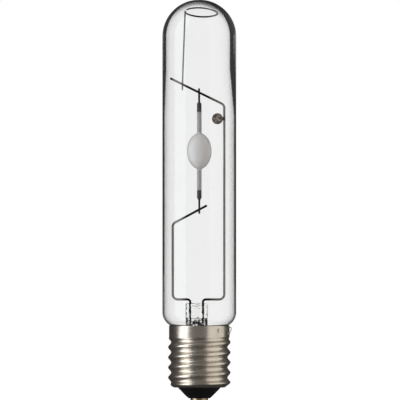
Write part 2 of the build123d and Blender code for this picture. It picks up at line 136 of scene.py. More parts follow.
class Recipe:
    """A node tree that is filled by expressions."""

    def __init__(self, tree: bpy.types.NodeTree) -> None:
        """Starts from an empty tree."""
        self.tree = tree
        tree.nodes.clear()

    def node(self, kind: str, settings: dict, inputs: dict, output: object = 0) -> Tone:
        """Adds a node of any type.

        Args:
            kind: The node's type, such as ShaderNodeTexNoise.
            settings: Properties that are set first.
            inputs: Values or links, by the socket's name or number.
            output: The output that is returned.

        Returns:
            The chosen output, with no socket where the node has no outputs.
        """
        made = self.tree.nodes.new(kind)
        for name, value in settings.items():
            setattr(made, name, value)
        for key, value in inputs.items():
            if isinstance(value, Tone):
                self.tree.links.new(value.socket, made.inputs[key])
            else:
                made.inputs[key].default_value = value
        return Tone(self, made.outputs[output] if len(made.outputs) else None)

    def place(self) -> Tone:
        """The place on the piece, in metres."""
        return self.node("ShaderNodeTexCoord", {}, {}, "Object")

    def along(self, axis: str) -> Tone:
        """The place on the piece along one axis, in metres."""
        return self.node("ShaderNodeSeparateXYZ", {}, {0: self.place()}, axis)

    def stretched(self, scale: tuple[float, float, float]) -> Tone:
        """The place on the piece, scaled along each axis."""
        return self.node("ShaderNodeMapping", {}, {"Vector": self.place(), "Scale": scale})

    def noise(self, scale: float, pattern: Pattern, vector: Optional[Tone] = None) -> Tone:
        """Noise from 0 to 1, with a scale in waves per metre, at the place on the piece or a vector."""
        values = {"Vector": vector or self.place(), "Scale": scale}
        return self.node("ShaderNodeTexNoise", {}, values | pattern.value)

    def blend(self, factor: object, first: object, second: object) -> Tone:
        """A colour that goes from first to second."""
        values = {MIX_FACTOR: factor, MIX_FIRST: first, MIX_SECOND: second}
        return self.node("ShaderNodeMix", {"data_type": "RGBA"}, values, MIX_RESULT)

    def ramp(self, factor: Tone, low: float, high: float) -> Tone:
        """Maps a factor's range from low to high onto 0 to 1."""
        values = {"Value": factor, "From Min": low, "From Max": high}
        return self.node("ShaderNodeMapRange", {}, values)

    def facing(self) -> Tone:
        """0 where the surface faces the ray, and 1 where it is seen edge on."""
        return self.node("ShaderNodeLayerWeight", {}, {"Blend": 0.5}, "Facing")

    def bump(self, height: Tone, depth: float, strength: float) -> Tone:
        """A normal from a height, with its depth in metres."""
        values = {"Height": height, "Distance": depth, "Strength": strength}
        return self.node("ShaderNodeBump", {}, values, "Normal")

    def principled(self, values: dict) -> Tone:
        """The main shader, with its inputs by name."""
        return self.node("ShaderNodeBsdfPrincipled", {}, values)

    def tinted(self, kind: str, tone: object) -> Tone:
        """A shader that has just a colour."""
        return self.node(kind, {}, {"Color": tone})

    def white(self, kind: str, strength: object) -> Tone:
        """White light of a strength, as a background or an emission."""
        return self.node(kind, {}, {"Color": color(1.0, 1.0, 1.0), "Strength": strength})

    def mixed(self, factor: Tone, first: Tone, second: Tone) -> Tone:
        """A shader that goes from first to second."""
        return self.node("ShaderNodeMixShader", {}, {0: factor, 1: first, 2: second})

    def surface(self, shader: Tone, kind: str = "ShaderNodeOutputMaterial") -> None:
        """Ends the tree in a shader."""
        self.node(kind, {}, {"Surface": shader})


def color(red: float, green: float, blue: float) -> tuple[float, float, float, float]:
    """An opaque linear colour."""
    return (red, green, blue, 1.0)


@dataclass(frozen=True)
class Finish:
    """The base of each finish: a name and the material made from it."""

    name: str

    def material(self) -> bpy.types.Material:
        """Makes the material, once for each name.

        Returns:
            The material.
        """
        known = bpy.data.materials.get(self.name)
        if known:
            return known
        made = bpy.data.materials.new(self.name)
        made.use_nodes = True
        self.fill(Recipe(made.node_tree))
        return made

    def fill(self, recipe: Recipe) -> None:
        """Fills the material's tree."""
        raise NotImplementedError


@dataclass(frozen=True)
class ClearGlass(Finish):
    """Clear glass, whose shadow lets the light through to what it covers.

    Painted shade darkens its rim as it turns edge on. Painted shade darkens its crown sooner, over a rise in
    Z, and half as much at the left end of a stretch of X as at its right end.
    """

    tint: Rgb = (0.958, 0.963, 0.958)
    # Painted shade: the dark tone that the rim and the crown turn to.
    dark: Rgb = (0.12, 0.11, 0.1)
    shadow: Rgb = (0.96, 0.96, 0.96)
    ior: float = 1.42
    haze_scale: float = 45.0
    wave_scale: float = 70.0
    wave_stretch: float = 0.06
    wave_depth: float = 0.00002
    rim: float = 0.0
    rim_range: Span = (0.45, 0.95)
    crown: float = 0.0
    crown_range: Span = (0.46, 0.6)
    crown_rise: Span = (241.0, 249.0)
    crown_side: Span = (-14.0, 8.0)

    def fill(self, recipe: Recipe) -> None:
        """Glass with draw lines or pressed waves, with painted shade that can darken its rim and crown.

        Args:
            recipe: The material's recipe.
        """
        drawn = recipe.stretched((1.0, 1.0, self.wave_stretch))
        draw_lines = recipe.noise(self.wave_scale, Pattern.SOFT, drawn)
        haze = recipe.noise(self.haze_scale, Pattern.SOFT)
        paler = (0.5 * (1 + channel) for channel in self.tint)
        glass = recipe.principled({
            "Base Color": recipe.blend(haze, color(*self.tint), color(*paler)),
            "Roughness": 0.0,
            "IOR": self.ior,
            "Transmission Weight": 1.0,
            "Normal": recipe.bump(draw_lines, self.wave_depth, 0.5),
        })
        facing = recipe.facing()
        rise = recipe.along("Z")
        left, right = self.crown_side
        foot, top = self.crown_rise
        # Painted shade on the crown, half as strong on the left as on the right.
        uneven = 0.5 + 0.5 * recipe.ramp(rise.part("X"), left * MM, right * MM)
        at_crown = recipe.ramp(rise, foot * MM, top * MM) * uneven
        crown = self.crown * at_crown * recipe.ramp(facing, *self.crown_range)
        # Painted shade at the rim, as the glass turns edge on.
        rim = self.rim * recipe.ramp(facing, *self.rim_range)
        shade = recipe.tinted("ShaderNodeBsdfTransparent", color(*self.dark))
        seen = recipe.mixed(rim.or_higher(crown), glass, shade)
        clear = recipe.tinted("ShaderNodeBsdfTransparent", color(*self.shadow))
        path = recipe.node("ShaderNodeLightPath", {}, {}, "Is Shadow Ray")
        recipe.surface(recipe.mixed(path, seen, clear))


@dataclass(frozen=True)
class Metal(Finish):
    """A metal with a stained tone, brush marks and a worn or dull grain.

    Its painted shade goes by X: where it starts, is full, begins to fade and ends. Its painted shade at
    a tip is full at the first place and gone at the second.
    """

    clean: Rgb = (0.75, 0.7, 0.62)
    stained: Rgb = (0.5, 0.45, 0.4)
    # Painted shade: the near black tone laid along X.
    painted_shade_tone: Rgb = (0.014, 0.012, 0.011)
    roughness: Span = (0.2, 0.4)
    stain_scale: float = 120.0
    brush_scale: float = 260.0
    brush: tuple[float, float, float] = (1.0, 1.0, 14.0)
    brush_depth: float = 0.00001
    painted_shade_span: Optional[tuple[float, float, float, float]] = None
    painted_shade_tip: Optional[Span] = None

    def fill(self, recipe: Recipe) -> None:
        """Stains and brush marks over a bare metal, with painted shade along a part of X.

        Args:
            recipe: The material's recipe.
        """
        stain = recipe.ramp(recipe.noise(self.stain_scale, Pattern.FINE), 0.4, 0.75)
        tone = recipe.blend(stain, color(*self.clean), color(*self.stained))
        # Painted shade: the tone goes near black along a span of X.
        if self.painted_shade_span:
            tone = recipe.blend(self.painted_shade(recipe), tone, color(*self.painted_shade_tone))
        marks = recipe.noise(self.brush_scale, Pattern.GRITTY, recipe.stretched(self.brush))
        low, high = self.roughness
        recipe.surface(recipe.principled({
            "Base Color": tone,
            "Metallic": 1.0,
            "Roughness": low + (high - low) * (0.5 * marks + 0.5 * stain),
            "Normal": recipe.bump(marks, self.brush_depth, 0.4),
        }))

    def painted_shade(self, recipe: Recipe) -> Tone:
        """Where painted shade darkens the metal along X.

        Args:
            recipe: The material's recipe.

        Returns:
            1 on the painted shade and at the shaded tip, and 0 on bare metal.
        """
        beside = recipe.along("X")
        start, full, fading, end = (edge * MM for edge in self.painted_shade_span)
        painted_shade = recipe.ramp(beside, start, full) * recipe.ramp(beside, end, fading)
        if self.painted_shade_tip:
            tip, clean = self.painted_shade_tip
            painted_shade = painted_shade + recipe.ramp(beside, clean * MM, tip * MM)
        return painted_shade


@dataclass(frozen=True)
class Ceramic(Finish):
    """Sintered alumina: pale and translucent, with a fine grain and a painted dark outline at its rim.

    Its places are heights from the light centre: of the salts' tone, and of the change from the
    vessel to the legs and from the legs to their sealed ends.
    """

    body: Rgb = (0.93, 0.875, 0.84)
    shade: Rgb = (0.91, 0.825, 0.78)
    salted: Rgb = (0.8, 0.68, 0.6)
    legs: Rgb = (0.42, 0.38, 0.375)
    sealed: Rgb = (0.045, 0.036, 0.038)
    # Painted shade: the dark tone of the outline at the rim.
    deep: Rgb = (0.2, 0.2, 0.2)
    salts_top: float = -5.0
    salts_foot: float = -11.0
    leg_range: Span = (9.8, 12.6)
    seal_range: Span = (24.3, 24.9)
    glow: float = 0.6
    glow_depth: float = 0.006
    rim: float = 0.45
    rim_range: Span = (0.5, 0.85)

    def fill(self, recipe: Recipe) -> None:
        """A light shell whose ends take the tone of what they hold, with a painted shade outline at its rim.

        Args:
            recipe: The material's recipe.
        """
        height = recipe.along("Z") - LIGHT_CENTRE * MM
        grain = recipe.noise(900.0, Pattern.FINE)
        cloud = recipe.noise(140.0, Pattern.SOFT)
        low = recipe.ramp(height, self.salts_top * MM, self.salts_foot * MM)
        vessel = recipe.blend(cloud, color(*self.body), color(*self.shade))
        vessel = recipe.blend(0.5 * low, vessel, color(*self.salted))
        at_leg, at_seal = (
            recipe.ramp(abs(height), start * MM, end * MM) for start, end in (self.leg_range, self.seal_range)
        )
        legs = recipe.blend(at_seal, color(*self.legs), color(*self.sealed))
        ceramic = recipe.principled({
            "Base Color": recipe.blend(at_leg, vessel, legs),
            "Roughness": 0.34 + 0.12 * grain,
            "Subsurface Weight": self.glow,
            "Subsurface Radius": (1.0, 0.95, 0.9),
            "Subsurface Scale": self.glow_depth,
            "IOR": 1.6,
            "Normal": recipe.bump(grain, 0.00001, 0.3),
        })
        deep = recipe.principled({"Base Color": color(*self.deep), "Roughness": 0.3})
        # Painted shade: a dark outline where the vessel turns edge on.
        rim = self.rim * recipe.ramp(recipe.facing(), *self.rim_range)
        recipe.surface(recipe.mixed(rim, ceramic, deep))


@dataclass(frozen=True)
class Powder(Finish):
    """A dull mineral surface, such as frit, pressed powder, salt or cement."""

    light: Rgb = (0.2, 0.17, 0.14)
    dark: Rgb = (0.08, 0.07, 0.06)
    speck: float = 1400.0
    roughness: float = 0.75
    depth: float = 0.00004
    contrast: Span = (0.4, 0.6)

    def fill(self, recipe: Recipe) -> None:
        """Mottled grains.

        Args:
            recipe: The material's recipe.
        """
        mottle = recipe.ramp(recipe.noise(self.speck, Pattern.FINE), *self.contrast)
        recipe.surface(recipe.principled({
            "Base Color": recipe.blend(mottle, color(*self.dark), color(*self.light)),
            "Roughness": self.roughness + 0.15 * mottle,
            "Normal": recipe.bump(mottle, self.depth, 0.5),
        }))


@dataclass(frozen=True)
class BlackGlass(Finish):
    """Opaque pressed glass with a soft flow in its gloss."""

    deep: Rgb = (0.003, 0.003, 0.0035)
    pale: Rgb = (0.007, 0.007, 0.006)
    flow_scale: float = 90.0

    def fill(self, recipe: Recipe) -> None:
        """Black with uneven gloss.

        Args:
            recipe: The material's recipe.
        """
        flow = recipe.noise(self.flow_scale, Pattern.SOFT)
        recipe.surface(recipe.principled({
            "Base Color": recipe.blend(flow, color(*self.deep), color(*self.pale)),
            "Roughness": 0.12 + 0.15 * flow,
            "Normal": recipe.bump(flow, 0.0001, 0.25),
        }))


class Finishes:
    """Every finish of the lamp, named for the piece that wears it."""

    # Painted shade at the bulb's rim and crown.
    glass = ClearGlass("clear_bulb_glass", rim=0.9, rim_range=(0.78, 0.95), crown=0.55)
    # Painted shade at the stem's rim.
    stem_glass = ClearGlass(
        "stem_glass", tint=(0.97, 0.975, 0.96), wave_scale=450.0, wave_stretch=0.7,
        wave_depth=0.0022, rim=0.9,
    )
    cap = Metal(
        "warm_nickel_cap", clean=(0.74, 0.67, 0.58), stained=(0.6, 0.53, 0.44), roughness=(0.24, 0.36),
    )
    contact = Metal(
        "brass_contact", clean=(0.55, 0.43, 0.29), stained=(0.33, 0.25, 0.16), roughness=(0.25, 0.4),
    )
    # Painted shade darkens this wire along X, leaving its upright run and a short stretch of its arm light.
    long_wire = Metal(
        "long_frame_wire_metal", clean=(0.8, 0.77, 0.7), stained=(0.6, 0.57, 0.5),
        roughness=(0.14, 0.26), stain_scale=300.0, painted_shade_span=(-11.4, -10.2, 6.0, 15.0),
        painted_shade_tip=(-17.2, -16.6),
    )
    # Painted shade darkens this wire from a place along X on, leaving its upright run light.
    short_wire = Metal(
        "short_frame_wire_metal", clean=(0.8, 0.77, 0.7), stained=(0.6, 0.57, 0.5),
        roughness=(0.14, 0.26), stain_scale=300.0, painted_shade_span=(-11.4, -10.2, 50.0, 60.0),
    )
    # Painted shade darkens the ring's middle along X, leaving its ends light.
    spring = Metal(
        "steel_spring_wire", clean=(0.72, 0.7, 0.68), stained=(0.45, 0.43, 0.41),
        roughness=(0.12, 0.25), painted_shade_span=(-7.5, -5.0, 3.0, 8.0),
    )
    niobium = Metal(
        "niobium_lead", clean=(0.02, 0.018, 0.018), stained=(0.01, 0.009, 0.009), roughness=(0.3, 0.5),
    )
    cup = Metal(
        "getter_cup_steel", clean=(0.12, 0.11, 0.1), stained=(0.05, 0.045, 0.04), roughness=(0.35, 0.5),
    )
    copper = Metal(
        "plated_lead_wire", clean=(0.72, 0.66, 0.58), stained=(0.5, 0.42, 0.34), roughness=(0.25, 0.4),
    )
    solder = Metal(
        "tinned_solder", clean=(0.58, 0.57, 0.55), stained=(0.4, 0.38, 0.35), roughness=(0.3, 0.5),
    )
    alumina = Ceramic("arc_tube_alumina")
    frit = Powder("dark_glassy_frit", light=(0.07, 0.06, 0.06), dark=(0.03, 0.026, 0.026), roughness=0.4)
    pellet = Powder(
        "pressed_powder", light=(0.34, 0.26, 0.22), dark=(0.01, 0.008, 0.007), speck=520.0, depth=0.0002,
    )
    salt = Powder("salt_crust", light=(0.62, 0.6, 0.36), dark=(0.46, 0.4, 0.2), roughness=0.5)
    cement = Powder("cap_cement", light=(0.6, 0.55, 0.47), dark=(0.45, 0.4, 0.34), speck=500.0)
    insulator = BlackGlass("black_insulator_glass")


def circle(point: Vector, across: Vector, beside: Vector, radius: float) -> Ring:
    """A round ring.

    Args:
        point: Its centre.
        across: A unit vector from the centre to the ring's start.
        beside: A unit vector a quarter of a turn on.
        radius: Its radius.

    Returns:
        The ring's point at a turn from 0 to 1.
    """

    def at(turn: float) -> Vector:
        """The point at a turn."""
        angle = 2 * math.pi * turn
        return point + radius * (across * math.cos(angle) + beside * math.sin(angle))

    return at


class Shape:
    """A mesh in the making, in millimetres, that becomes a finished piece."""

    def __init__(self) -> None:
        """Starts with nothing."""
        self.bm = bmesh.new()

    def spin(self, outline: Outline, steps: int = 96, matrix: Matrix = IN_PLACE) -> "Shape":
        """Adds a turned body.

        Args:
            outline: (radius, height) points round the section; it closes on itself or on the axis.
            steps: Faces round the body.
            matrix: Where the body goes.

        Returns:
            This shape.
        """
        on_axis = outline[0][0] == 0 and outline[-1][0] == 0
        verts = [self.bm.verts.new((radius, 0.0, height)) for radius, height in outline]
        pairs = list(zip(verts, verts[1:])) + ([] if on_axis else [(verts[-1], verts[0])])
        edges = [self.bm.edges.new(pair) for pair in pairs]
        bmesh.ops.spin(
            self.bm, geom=verts + edges, axis=(0, 0, 1), cent=(0, 0, 0),
            angle=2 * math.pi, steps=steps, use_merge=True,
        )
        body = self._joined(verts)
        poles = [v for v in body if abs(v.co.x) + abs(v.co.y) < 1e-6]
        bmesh.ops.remove_doubles(self.bm, verts=poles, dist=1e-5)
        bmesh.ops.transform(self.bm, matrix=matrix, verts=[v for v in body if v.is_valid])
        return self

    @staticmethod
    def _joined(seeds: Iterable[bmesh.types.BMVert]) -> list[bmesh.types.BMVert]:
        """Finds a body from some of its vertices.

        Args:
            seeds: The vertices to start from.

        Returns:
            Every vertex that edges join to them, and the seeds.
        """
        found, waiting = set(seeds), list(seeds)
        while waiting:
            joined = {vert for edge in waiting.pop().link_edges for vert in edge.verts}
            waiting.extend(joined - found)
            found |= joined
        return list(found)

    def rings(self, sections: Sequence[Ring], sides: int, closed: bool = False) -> "Shape":
        """Adds a body of rings that are extruded one from the last.

        Args:
            sections: For each ring, the point at a turn from 0 to 1.
            sides: Points round a ring.
            closed: Whether the last ring joins the first, instead of flat ends.

        Returns:
            This shape.
        """
        start = bmesh.ops.create_circle(self.bm, segments=sides, radius=1.0, cap_ends=not closed)
        ring = start["verts"]
        self._lay(ring, sections[0])
        edges = first_edges = list({edge for vert in ring for edge in vert.link_edges})
        for section in sections[1:]:
            made = bmesh.ops.extrude_edge_only(self.bm, edges=edges)["geom"]
            fresh = {part for part in made if isinstance(part, bmesh.types.BMVert)}
            grown = [part for part in made if isinstance(part, bmesh.types.BMEdge)]
            edges = [edge for edge in grown if set(edge.verts) <= fresh]
            ring = [next(e.other_vert(v) for e in v.link_edges if e.other_vert(v) in fresh) for v in ring]
            self._lay(ring, section)
        if closed:
            bmesh.ops.bridge_loops(self.bm, edges=edges + first_edges)
        else:
            bmesh.ops.contextual_create(self.bm, geom=edges)
        return self

    @staticmethod
    def _lay(ring: Sequence[bmesh.types.BMVert], section: Ring) -> None:
        """Puts a ring's vertices on a section."""
        for index, vert in enumerate(ring):
            vert.co = section(index / len(ring))

    def wire(self, stations: Sequence[Station], radius: float, sides: int,
             round_ends: bool = False) -> "Shape":
        """Adds a round wire along stations.

        Args:
            stations: (point, direction) pairs along the wire's middle.
            radius: The wire's radius.
            sides: Points round the wire.
            round_ends: Whether both ends are domed.

        Returns:
            This shape.
        """
        sections = []
        before = stations[0][1]
        across = before.orthogonal().normalized()
        laid = [(point, along, 1.0) for point, along in stations]
        if round_ends:
            laid = self._domed(laid, radius)
        for point, along, share in laid:
            across = (before.rotation_difference(along) @ across).normalized()
            before = along
            beside = along.cross(across).normalized()
            sections.append(circle(point, across, beside, radius * share))
        return self.rings(sections, sides)

    @staticmethod
    def _domed(laid: list, radius: float) -> list:
        """Adds shrinking rings beyond both ends of a wire.

        Args:
            laid: (point, direction, share of the radius) for each ring.
            radius: The wire's radius.

        Returns:
            The same list with three more rings at each end.
        """
        dome_height = 0.6 * radius
        steps = [(math.sin(a), math.cos(a)) for a in (math.radians(d) for d in (30, 60, 80))]
        (start, into, _), (stop, out, _) = laid[0], laid[-1]
        head = [(start - into * dome_height * rise, into, share) for rise, share in reversed(steps)]
        tail = [(stop + out * dome_height * rise, out, share) for rise, share in steps]
        return head + laid + tail

    def piece(self, name: str, finish: Finish, slot: str, stands_for: Iterable[str],
              shading: Shading = Shading.CREASED) -> bpy.types.Object:
        """Makes the object.

        Args:
            name: The piece's name.
            finish: What it is dressed with.
            slot: Not used.
            stands_for: The CAD nodes it stands for.
            shading: How its faces are smoothed.

        Returns:
            The object, in metres, riding on the lamp.
        """
        bmesh.ops.remove_doubles(self.bm, verts=self.bm.verts, dist=1e-5)
        bmesh.ops.recalc_face_normals(self.bm, faces=self.bm.faces)
        bmesh.ops.scale(self.bm, vec=(MM, MM, MM), verts=self.bm.verts)
        mesh = bpy.data.meshes.new(name)
        self.bm.to_mesh(mesh)
        self.bm.free()
        mesh.shade_smooth()
        if shading is Shading.CREASED:
            mesh.set_sharp_from_angle(angle=math.radians(shading.value))
        mesh.materials.append(finish.material())
        made = bpy.data.objects.new(name, mesh)
        bpy.context.collection.objects.link(made)
        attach(made, "root")
        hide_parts(*stands_for)
        log.info("%s: %d faces", name, len(mesh.polygons))
        return made


def arc(centre: tuple[float, float], radius: float, start: float, stop: float, steps: int) -> list:
    """Points of an arc, in degrees, in the outline's plane."""
    angles = [math.radians(start + (stop - start) * i / steps) for i in range(steps + 1)]
    return [(centre[0] + radius * math.cos(a), centre[1] + radius * math.sin(a)) for a in angles]


def bent(corners: Sequence[tuple], bends: Sequence[float], step: float = 9.0) -> list[Station]:
    """Stations along straight runs with rounded corners.

    Args:
        corners: The route's corners, in millimetres.
        bends: The bend radius at each inner corner.
        step: Degrees of turn between stations.

    Returns:
        (point, direction) pairs.
    """
    points = [Vector(c) for c in corners]
    stations = [(points[0], (points[1] - points[0]).normalized())]
    for before, corner, after, radius in zip(points, points[1:], points[2:], bends):
        into, out = (corner - before).normalized(), (after - corner).normalized()
        turn = into.angle(out)
        axis = into.cross(out).normalized()
        start = corner - into * radius * math.tan(turn / 2)
        centre = start + axis.cross(into) * radius
        count = max(2, round(math.degrees(turn) / step))
        for i in range(count + 1):
            spin = Matrix.Rotation(turn * i / count, 3, axis)
            stations.append((centre + spin @ (start - centre), spin @ into))
    stations.append((points[-1], (points[-1] - points[-2]).normalized()))
    return stations


@dataclass
class Bulb:
    """The outer bulb: a clear tube, domed at the top and drawn in to a neck."""

    height: float = 253.0
    radius: float = 23.2
    wall: float = 0.95
    dome_wall: float = 2.85
    crown_wall: float = 1.8
    thick_wall_length: float = 20.0
    wall_taper_length: float = 30.0
    shoulder_top: float = 56.5
    shoulder_radius: float = 9.5
    shoulder_angle: float = 48.5
    shoulder_steps: int = 14
    dome_steps: int = 40
    sides: int = 144
    uneven: float = 0.6

    def neck(self, inset: float) -> list:
        """The neck's outline, from its foot to the straight tube.

        Args:
            inset: How far it lies inside the glass's outer face.

        Returns:
            (radius, height) points.
        """
        middle = (self.radius - self.shoulder_radius, self.shoulder_top)
        curve = arc(middle, self.shoulder_radius - inset, -self.shoulder_angle, 0, self.shoulder_steps)
        slope = math.tan(math.radians(self.shoulder_angle))
        cone_foot = curve[0][1] - (curve[0][0] - NECK_RADIUS + inset) / slope
        return [(NECK_RADIUS - inset, NECK_FOOT), (NECK_RADIUS - inset, cone_foot)] + curve

    def build(self) -> bpy.types.Object:
        """Makes the bulb, thicker towards its dome.

        Returns:
            The bulb.
        """
        centre = self.height - self.radius
        thick_foot = centre - self.thick_wall_length
        taper_foot = thick_foot - self.wall_taper_length
        outside = self.neck(0.0) + [(self.radius, taper_foot), (self.radius, thick_foot)]
        outside += arc((0, centre), self.radius, 0, 90, self.dome_steps)
        reach, rise = self.radius - self.dome_wall, self.radius - self.crown_wall
        inside = self.neck(self.wall) + [(self.radius - self.wall, taper_foot), (reach, thick_foot)]
        inside += [(reach * x, centre + rise * z) for x, z in arc((0, 0), 1.0, 0, 90, self.dome_steps)]
        outside[-1] = (0.0, self.height)
        inside[-1] = (0.0, self.height - self.crown_wall)
        shape = Shape().spin(outside[::-1] + inside, self.sides)
        self.thin_left(shape, centre, taper_foot)
        return shape.piece("bulb_glass", Finishes.glass, "clear_glass", ["outer_bulb"])

    def thin_left(self, shape: Shape, centre: float, taper_foot: float) -> None:
        """Moves the dome's inside to the left, as drawn glass is never quite even.

        Args:
            shape: The bulb's shape.
            centre: The height of the dome's centre.
            taper_foot: The height from which the wall thickens, and the move grows.
        """
        for vert in shape.bm.verts:
            reach = math.hypot(vert.co.x, vert.co.y, max(0.0, vert.co.z - centre))
            if reach < self.radius - self.wall / 2:
                share = (vert.co.z - taper_foot) / self.wall_taper_length
                vert.co.x -= self.uneven * max(0.0, min(share, 1.0))


@dataclass
class ScrewCap:
    """The screw shell, its insulator and contact, and the lead welded to its skirt."""

    rim_height: float = 47.9
    skirt_radius: float = 19.05
    skirt_foot: float = 40.9
    sheet: float = 0.35
    lip: float = 0.12
    pitch: float = 6.35
    crest_radius: float = 19.65
    depth: float = 1.9
    run_out: float = 2.4
    first_crest: float = 37.55
    shell_foot: float = 9.1
    shell_foot_radius: float = 15.9
    roll_height: float = 3.0
    mouth_radius: float = 13.7
    rows: int = 110
    sides: int = 240
    nick_angle: float = -50.6
    nick_half_angle: float = 2.3
    nick_depth: float = 0.7
    nick_foot: float = 43.3
    nick_full: float = 43.8
    nick_top: float = 46.1
    notch: float = 1.6
    notch_half_angle: float = 1.6
    insulator_top: float = 12.0
    insulator_foot: float = 2.3
    insulator_fit: float = 0.1
    flange_radius: float = 15.3
    lead_hole: float = 1.0
    contact_radius: float = 5.6
    contact_roll: float = 1.6
    lead_angle: float = -12.0
    lead_radius: float = 0.25
    lead_top: float = 43.0
    lead_foot: float = 25.5
    lead_loop: float = 1.95
    lead_end: float = 42.5
    weld_height: float = 43.0
    weld_radius: float = 0.9

    def ring(self, height: float, inset: float) -> Ring:
        """The shell's ring at a height: round, and set off centre by half the thread's depth.

        Args:
            height: The ring's height.
            inset: How far it lies inside the sheet's outer face.

        Returns:
            The ring's point at each turn.
        """
        into_roll = max(0.0, min((height - self.shell_foot) / self.roll_height, 1))
        to_skirt = max(0.0, min((self.skirt_foot - height) / self.run_out, 1))
        mean = self.crest_radius - self.depth / 2
        radius = mean - (mean - self.shell_foot_radius) * (1 - into_roll) ** 2
        radius += (self.skirt_radius - mean) * (1 - to_skirt) - inset
        offset = self.depth / 2 * into_roll * to_skirt
        turn = 2 * math.pi * (height - self.first_crest) / self.pitch
        middle = Vector((offset * math.cos(turn), offset * math.sin(turn), height))
        return circle(middle, Vector((1, 0, 0)), Vector((0, 1, 0)), radius)

    def flat_ring(self, radius: float, height: float, dent: float = 0.0, notch: float = 0.0) -> Ring:
        """A ring on the lamp's axis.

        Args:
            radius: Its radius.
            height: Its height.
            dent: How far the punched nick goes in.
            notch: How far the notch for the side lead goes down.

        Returns:
            The ring's point at each turn.
        """

        def at(turn: float) -> Vector:
            """Places one point, with the nick or the notch where it falls in them.

            Args:
                turn: How far round it is, from 0 to 1.

            Returns:
                The point.
            """
            degrees = 360.0 * turn - 360.0
            inward = dent * max(0.0, 1.0 - abs(degrees - self.nick_angle) / self.nick_half_angle)
            down = notch if abs(degrees - self.lead_angle) < self.notch_half_angle else 0.0
            angle = math.radians(degrees)
            reach = radius - inward
            return Vector((reach * math.cos(angle), reach * math.sin(angle), height - down))

        return at

    def shell(self) -> bpy.types.Object:
        """Makes the thread with its skirt, rim and rolled foot, as one folded sheet.

        Returns:
            The shell.
        """
        step = (self.skirt_foot - self.shell_foot) / self.rows
        heights = [self.shell_foot + step * i for i in range(self.rows + 1)]
        floor = self.shell_foot + self.sheet
        outer, inner = self.skirt_radius, self.skirt_radius - self.sheet
        sections = [self.ring(height, 0.0) for height in heights]
        sections += [
            self.flat_ring(outer, self.skirt_foot + 1),
            self.flat_ring(outer, self.nick_foot),
            self.flat_ring(outer, self.nick_full, dent=self.nick_depth),
            self.flat_ring(outer, self.nick_top, dent=self.nick_depth),
            self.flat_ring(outer, self.nick_top + 0.05),
            self.flat_ring(outer, self.rim_height - self.lip, notch=self.notch),
            self.flat_ring(outer - self.lip / 2, self.rim_height, notch=self.notch),
            self.flat_ring(inner, self.rim_height, notch=self.notch),
            self.flat_ring(inner, self.nick_top),
            self.flat_ring(inner, self.nick_top - 0.1, dent=self.nick_depth),
            self.flat_ring(inner, self.nick_full, dent=self.nick_depth),
            self.flat_ring(inner, self.skirt_foot + 1),
        ]
        sections += [self.ring(height, self.sheet) for height in heights[::-2] if height > floor]
        sections += [self.flat_ring(self.mouth_radius, height) for height in (floor, self.shell_foot)]
        shape = Shape().rings(sections, self.sides, closed=True)
        return shape.piece("screw_shell_sheet", Finishes.cap, "plated_cap", ["screw_shell"])

    def insulator(self) -> bpy.types.Object:
        """Makes the black glass cone, with softened edges.

        Returns:
            The insulator.
        """
        mouth, foot, top = self.mouth_radius - self.insulator_fit, self.insulator_foot, self.insulator_top
        floor = self.shell_foot + self.sheet
        outline = [(self.lead_hole, foot), (6.8, foot), (7.1, 2.5), (9.4, 4.7), (13.2, 8.7)]
        outline += [(mouth, self.shell_foot), (mouth, floor)]
        outline += [(self.flange_radius, floor), (self.flange_radius, top), (self.lead_hole, top)]
        shape = Shape().spin(outline, 120)
        return shape.piece("insulator_glass", Finishes.insulator, "black_glass", ["cap_insulator"])

    def contact(self) -> bpy.types.Object:
        """Makes the bottom contact: a shallow stamped disc with a rolled edge.

        Returns:
            The contact.
        """
        flat = self.contact_radius - self.contact_roll
        outline = [(self.lead_hole, self.insulator_foot), (self.lead_hole, 0.25), (1.15, 0.06), (1.4, 0.0)]
        outline += [(flat, 0.0)]
        outline += arc((flat, self.contact_roll), self.contact_roll, -90, 0, 10)
        outline += [(self.contact_radius, self.insulator_foot)]
        shape = Shape().spin(outline)
        return shape.piece("contact_disc", Finishes.contact, "contact_brass", ["centre_contact"])

    def around(self, radius: float, height: float) -> tuple[float, float, float]:
        """A point at the side lead's angle round the cap."""
        angle = math.radians(self.lead_angle)
        return (radius * math.cos(angle), radius * math.sin(angle), height)

    def side_lead(self) -> bpy.types.Object:
        """Makes the lead that comes over the rim, loops out and runs down to its weld.

        Returns:
            The side lead.
        """
        bore = self.skirt_radius - self.sheet
        gap = (NECK_RADIUS + self.crest_radius - self.depth - self.sheet) / 2
        route = bent(
            [
                (LONG_LEAD_X, 0.0, self.lead_top),
                (LONG_LEAD_X, 0.0, self.lead_foot),
                self.around(gap, self.lead_foot),
                self.around(gap, self.rim_height - 2.6),
                self.around(bore - 0.3, self.rim_height - 0.8),
                self.around(self.skirt_radius + self.lead_loop, self.rim_height - 1.1),
                self.around(self.skirt_radius + self.lead_radius, self.lead_end),
            ],
            [1.5, 1.5, 0.5, 0.5, 0.8],
        )
        shape = Shape().wire(route, self.lead_radius, 14)
        return shape.piece("side_lead", Finishes.copper, "copper_lead", ["side_lead_wire"])

    def weld(self) -> bpy.types.Object:
        """Makes the bead that joins the side lead to the skirt.

        Returns:
            The bead.
        """
        outline = [(0.0, 0.0), (self.weld_radius, 0.0), (0.88, 0.2), (0.75, 0.48), (0.5, 0.7)]
        outline += [(0.25, 0.8), (0.0, 0.83)]
        turn = Vector(self.around(1.0, 0.0)).to_track_quat("Z", "Y").to_matrix().to_4x4()
        place = Matrix.Translation(Vector(self.around(self.skirt_radius - 0.05, self.weld_height))) @ turn
        shape = Shape().spin(outline, 32, place)
        return shape.piece("weld_bead", Finishes.solder, "solder", ["side_weld"], Shading.SMOOTH)


